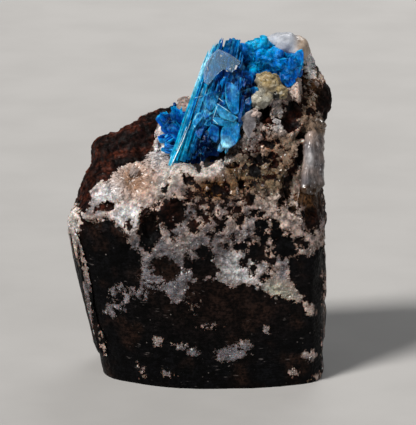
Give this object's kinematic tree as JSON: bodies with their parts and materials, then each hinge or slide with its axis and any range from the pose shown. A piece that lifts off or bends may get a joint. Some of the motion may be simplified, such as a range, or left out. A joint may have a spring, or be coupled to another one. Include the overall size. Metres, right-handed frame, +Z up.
{
  "type": "cavansite crystal specimen on basalt matrix",
  "caption": "Upright block of dark basalt with a hollow at the top, lined with pale zeolite, that holds leaning sprays of blue cavansite blades; rests on its flat sawn base.",
  "frame": {"origin": "on the flat sawn base, about the middle of the block's width and depth", "axes": "+Z up along the block's tallest side, +X to the right and +Y to the back as seen from the side that shows the blue spray"},
  "size_m": [0.0298, 0.0212, 0.0385],
  "materials": {
    "basalt": "dark brown-black fine-grained basalt, rusty and granular above, sawn and faintly striated low down, threaded with pale zeolite",
    "zeolite": "pale pinkish grey to cream druse of small glassy crystals",
    "cavansite": "deep blue to cyan, glassy, translucent bladed crystals with fine lengthwise striations",
    "stilbite": "white to colourless translucent laths with a pearly face",
    "honey_zeolite": "pale honey-yellow glassy blocky crystals",
    "clear_zeolite": "clear cleaved plate with a frosted, chipped right edge"
  },
  "bodies": {
    "root": {"basalt_matrix": "basalt", "zeolite_crust": "zeolite", "left_face_crust": "zeolite", "cavansite_front_spray": "cavansite", "cavansite_rear_spray": "cavansite", "stilbite_cap": "stilbite", "honey_zeolite_cluster": "honey_zeolite", "right_stilbite_sheaf": "stilbite", "clear_stilbite_plate": "clear_zeolite"}
  },
  "joints": []
}
